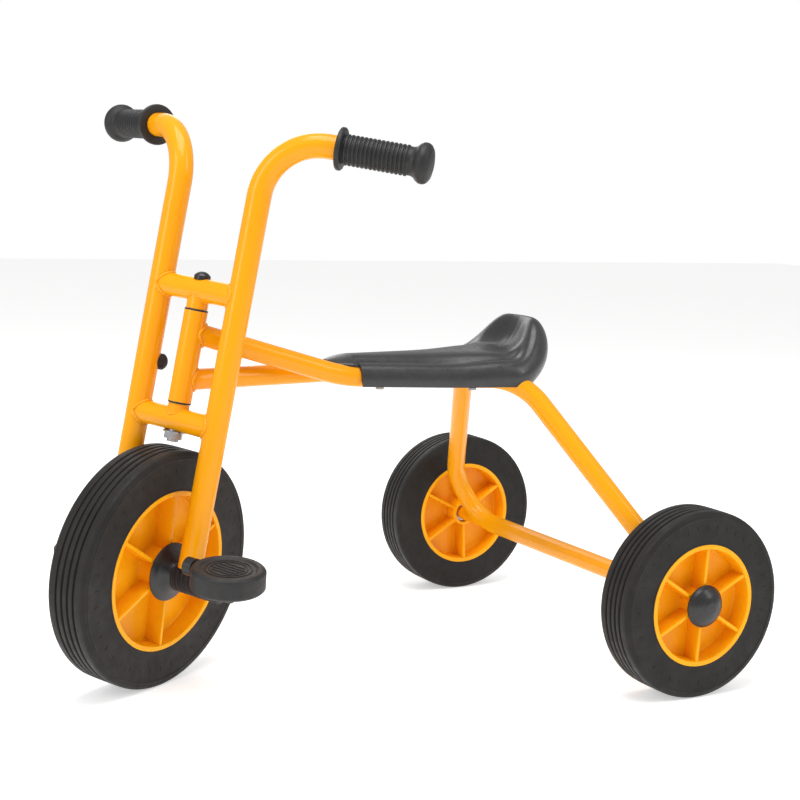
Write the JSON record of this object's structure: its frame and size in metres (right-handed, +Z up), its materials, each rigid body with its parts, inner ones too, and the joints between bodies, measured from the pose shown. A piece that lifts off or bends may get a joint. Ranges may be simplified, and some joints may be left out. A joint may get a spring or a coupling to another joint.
{
  "type": "children's tricycle",
  "caption": "Low tube-framed children's tricycle with a direct-drive front wheel, swept handlebar, saddle with raised back and solid tyres.",
  "frame": {"origin": "on the ground, under the middle of the overall box", "axes": "+Z up, -Y is the way the tricycle rides, +X is the rider's left"},
  "size_m": [0.551, 0.7286, 0.5982],
  "materials": {
    "frame_paint": "glossy powder coat",
    "wheel_plastic": "semi-gloss moulded plastic",
    "tyre_rubber": "matte",
    "seat_plastic": "satin",
    "grip_rubber": "matte",
    "soft_rubber": "matte",
    "pedal_plastic": "fine grained",
    "black_plastic": "satin",
    "nylon": "smooth",
    "zinc_steel": "bright zinc"
  },
  "bodies": {
    "frame": {"frame_tube_left": "frame_paint", "frame_tube_right": "frame_paint", "head_tube": "frame_paint", "head_bush_upper": "nylon", "head_bush_lower": "nylon", "rear_axle_left": "frame_paint", "rear_axle_right": "frame_paint", "axle_washers": "zinc_steel", "axle_retainers": "zinc_steel", "seat": "seat_plastic", "seat_screws": "zinc_steel"},
    "fork": {"fork_tube_left": "frame_paint", "fork_tube_right": "frame_paint", "upper_crossbar": "frame_paint", "lower_crossbar": "frame_paint", "upper_boss": "frame_paint", "lower_boss": "frame_paint", "kingpin": "zinc_steel", "kingpin_nut": "zinc_steel", "kingpin_cap": "black_plastic", "stop_bumper_left": "soft_rubber", "stop_bumper_right": "soft_rubber", "grip_left": "grip_rubber", "grip_right": "grip_rubber", "axle_housing_left": "frame_paint", "axle_housing_right": "frame_paint", "axle_bush_left": "nylon", "axle_bush_right": "nylon", "ribbed_sleeve_left": "soft_rubber", "ribbed_sleeve_right": "soft_rubber"},
    "front_wheel": {"front_tyre": "tyre_rubber", "front_rim": "wheel_plastic", "hub_flange_left": "black_plastic", "hub_flange_right": "black_plastic", "crank_axle": "zinc_steel", "drive_pin": "zinc_steel", "crank_arm_left": "zinc_steel", "crank_arm_right": "zinc_steel", "pedal_spindle_left": "zinc_steel", "pedal_spindle_right": "zinc_steel"},
    "pedal_left": {"pedal_block_left": "pedal_plastic", "pedal_bush_left": "nylon"},
    "pedal_right": {"pedal_block_right": "pedal_plastic", "pedal_bush_right": "nylon"},
    "rear_wheel_left": {"rear_tyre_left": "tyre_rubber", "rear_rim_left": "wheel_plastic", "rear_bush_left": "nylon", "hub_cap_left": "black_plastic"},
    "rear_wheel_right": {"rear_tyre_right": "tyre_rubber", "rear_rim_right": "wheel_plastic", "rear_bush_right": "nylon", "hub_cap_right": "black_plastic"}
  },
  "joints": [
    {"name": "steering", "type": "hinge", "parent": "frame", "child": "fork", "pos_m": [0, -0.24673, 0.12651], "axis": [0, 0.1736, 0.9848], "range_deg": [-73.5, 16.5]},
    {"name": "front_wheel_spin", "type": "hinge", "parent": "fork", "child": "front_wheel", "pos_m": [-0.00167, -0.2437, 0.12598], "axis": [0.8788, 0.4699, -0.0829], "continuous": true},
    {"name": "left_pedal_spin", "type": "hinge", "parent": "front_wheel", "child": "pedal_left", "pos_m": [0.15937, -0.22772, 0.15055], "axis": [0.8788, 0.4699, -0.0829], "continuous": true},
    {"name": "right_pedal_spin", "type": "hinge", "parent": "front_wheel", "child": "pedal_right", "pos_m": [-0.16271, -0.25968, 0.10141], "axis": [0.8788, 0.4699, -0.0829], "continuous": true},
    {"name": "left_rear_wheel_spin", "type": "hinge", "parent": "frame", "child": "rear_wheel_left", "pos_m": [0.239, 0.26527, 0.1], "axis": [1, 0, 0], "continuous": true},
    {"name": "right_rear_wheel_spin", "type": "hinge", "parent": "frame", "child": "rear_wheel_right", "pos_m": [-0.239, 0.26527, 0.1], "axis": [1, 0, 0], "continuous": true}
  ]
}
